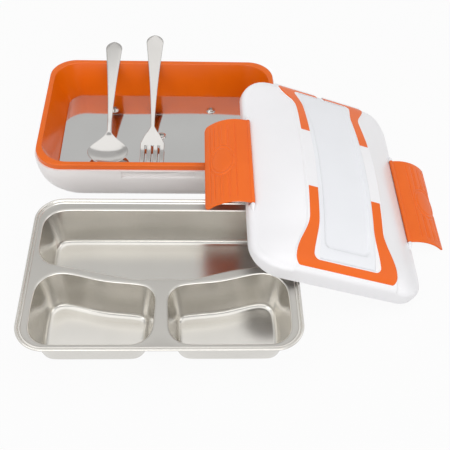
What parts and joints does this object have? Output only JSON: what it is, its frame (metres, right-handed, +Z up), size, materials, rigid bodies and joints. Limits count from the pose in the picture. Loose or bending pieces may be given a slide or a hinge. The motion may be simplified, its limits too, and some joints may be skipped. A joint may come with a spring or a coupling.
{
  "type": "electric lunch box",
  "caption": "Heated lunch box with a plate-bottomed base, a compartment tray, an arched lid with side latches, and a spoon and fork.",
  "frame": {"origin": "centre of the base's footprint on the table, at the underside of its feet", "axes": "+X along the base's length towards the leaning lid, +Y to the back, +Z up from the table"},
  "size_m": [0.3933, 0.3893, 0.0839],
  "materials": {
    "shell_white": "glossy moulded plastic",
    "liner_orange": "satin moulded plastic",
    "accent_orange": "glossy moulded plastic",
    "cover_white": "satin moulded plastic",
    "plate_metal": "satin rolled sheet",
    "tray_steel": "brushed pressed sheet",
    "cutlery_steel": "polished steel",
    "screw_steel": "plated steel",
    "pin_steel": "drawn steel",
    "pin_brass": "turned brass",
    "heater_ceramic": "fired ceramic in a clamp",
    "pad_fibre": "pressed fibre",
    "cutout_plastic": "moulded case",
    "fuse_sleeve": "woven sleeve over a fuse",
    "wire_sleeve": "insulated wire",
    "socket_black": "moulded plastic",
    "lens_clear": "clear window",
    "lamp_amber": "cast lamp body",
    "foot_rubber": "soft foot",
    "gasket_rubber": "silicone ring"
  },
  "bodies": {
    "base": {"outer_shell": "shell_white", "inner_liner": "liner_orange", "heating_plate": "plate_metal", "plate_screws": "screw_steel", "heating_element": "heater_ceramic", "insulation_pad": "pad_fibre", "thermal_cutout": "cutout_plastic", "thermal_fuse": "fuse_sleeve", "supply_wires": "wire_sleeve", "inlet_socket": "socket_black", "inlet_pins": "pin_brass", "indicator_lens": "lens_clear", "pilot_lamp": "lamp_amber", "feet": "foot_rubber", "base_screws": "screw_steel"},
    "tray": {"food_tray": "tray_steel"},
    "lid": {"lid_shell": "shell_white", "near_inlay": "accent_orange", "far_inlay": "accent_orange", "inner_panel": "shell_white", "lid_gasket": "gasket_rubber", "panel_screws": "screw_steel", "left_latch_pin": "pin_steel", "right_latch_pin": "pin_steel"},
    "left_latch": {"left_latch": "accent_orange"},
    "right_latch": {"right_latch": "accent_orange"},
    "cutlery_cover": {"cutlery_cover": "cover_white"},
    "spoon": {"spoon": "cutlery_steel"},
    "fork": {"fork": "cutlery_steel"}
  },
  "joints": [
    {"name": "lid_lift", "type": "slide", "parent": "base", "child": "lid", "axis": [0, 0, 1], "range_m": [0, 0.15]},
    {"name": "left_latch_swing", "type": "hinge", "parent": "lid", "child": "left_latch", "pos_m": [0.08533, -0.09342, 0.06598], "axis": [0, 0.9998, 0.0175], "range_deg": [-8, 45]},
    {"name": "right_latch_swing", "type": "hinge", "parent": "lid", "child": "right_latch", "pos_m": [0.23531, -0.09249, 0.01258], "axis": [0, -0.9998, -0.0175], "range_deg": [0, 16]},
    {"name": "cutlery_cover_swing", "type": "hinge", "parent": "lid", "child": "cutlery_cover", "pos_m": [0.16379, -0.19951, 0.04717], "axis": [0.9421, 0.0059, -0.3354], "range_deg": [0, 100]},
    {"name": "tray_slide", "type": "slide", "parent": "base", "child": "tray", "axis": [0, -1, 0], "range_m": [0, 0.12]},
    {"name": "spoon_lift", "type": "slide", "parent": "base", "child": "spoon", "axis": [0, 0, 1], "range_m": [0, 0.12]},
    {"name": "fork_lift", "type": "slide", "parent": "base", "child": "fork", "axis": [0, 0, 1], "range_m": [0, 0.12]}
  ]
}
